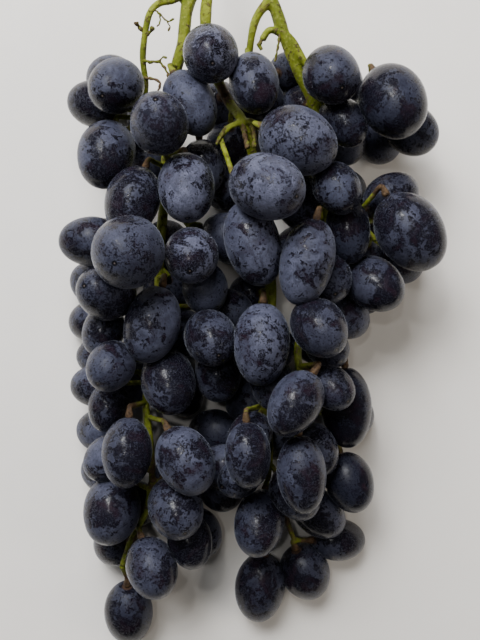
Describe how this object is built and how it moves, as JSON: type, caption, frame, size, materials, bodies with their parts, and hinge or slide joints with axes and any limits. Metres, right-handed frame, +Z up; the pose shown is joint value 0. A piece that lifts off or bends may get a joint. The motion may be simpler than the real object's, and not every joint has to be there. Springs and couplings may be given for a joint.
{
  "type": "bunch of grapes",
  "caption": "Long bunch of dark oval table grapes lying flat, berries crowded on branching stem arms below one short cut peduncle.",
  "frame": {"origin": "centre of the bounding box in X and Y, on the surface the bunch lies on", "axes": "+Y along the bunch to its cut stem end, +Z up from the surface, X across the bunch"},
  "size_m": [0.138, 0.2716, 0.0694],
  "materials": {
    "grape_skin": null,
    "stem": "fresh yellow-green stem with brown flecks and brown stubs"
  },
  "bodies": {
    "root": {"left_shoulder_berries": "grape_skin", "middle_shoulder_berries": "grape_skin", "right_shoulder_berries": "grape_skin", "heart_berries": "grape_skin", "left_middle_berries": "grape_skin", "left_waist_berries": "grape_skin", "middle_waist_berries": "grape_skin", "right_middle_berries": "grape_skin", "right_waist_berries": "grape_skin", "left_tail_berries": "grape_skin", "tail_berries": "grape_skin", "stem": "stem"}
  },
  "joints": []
}
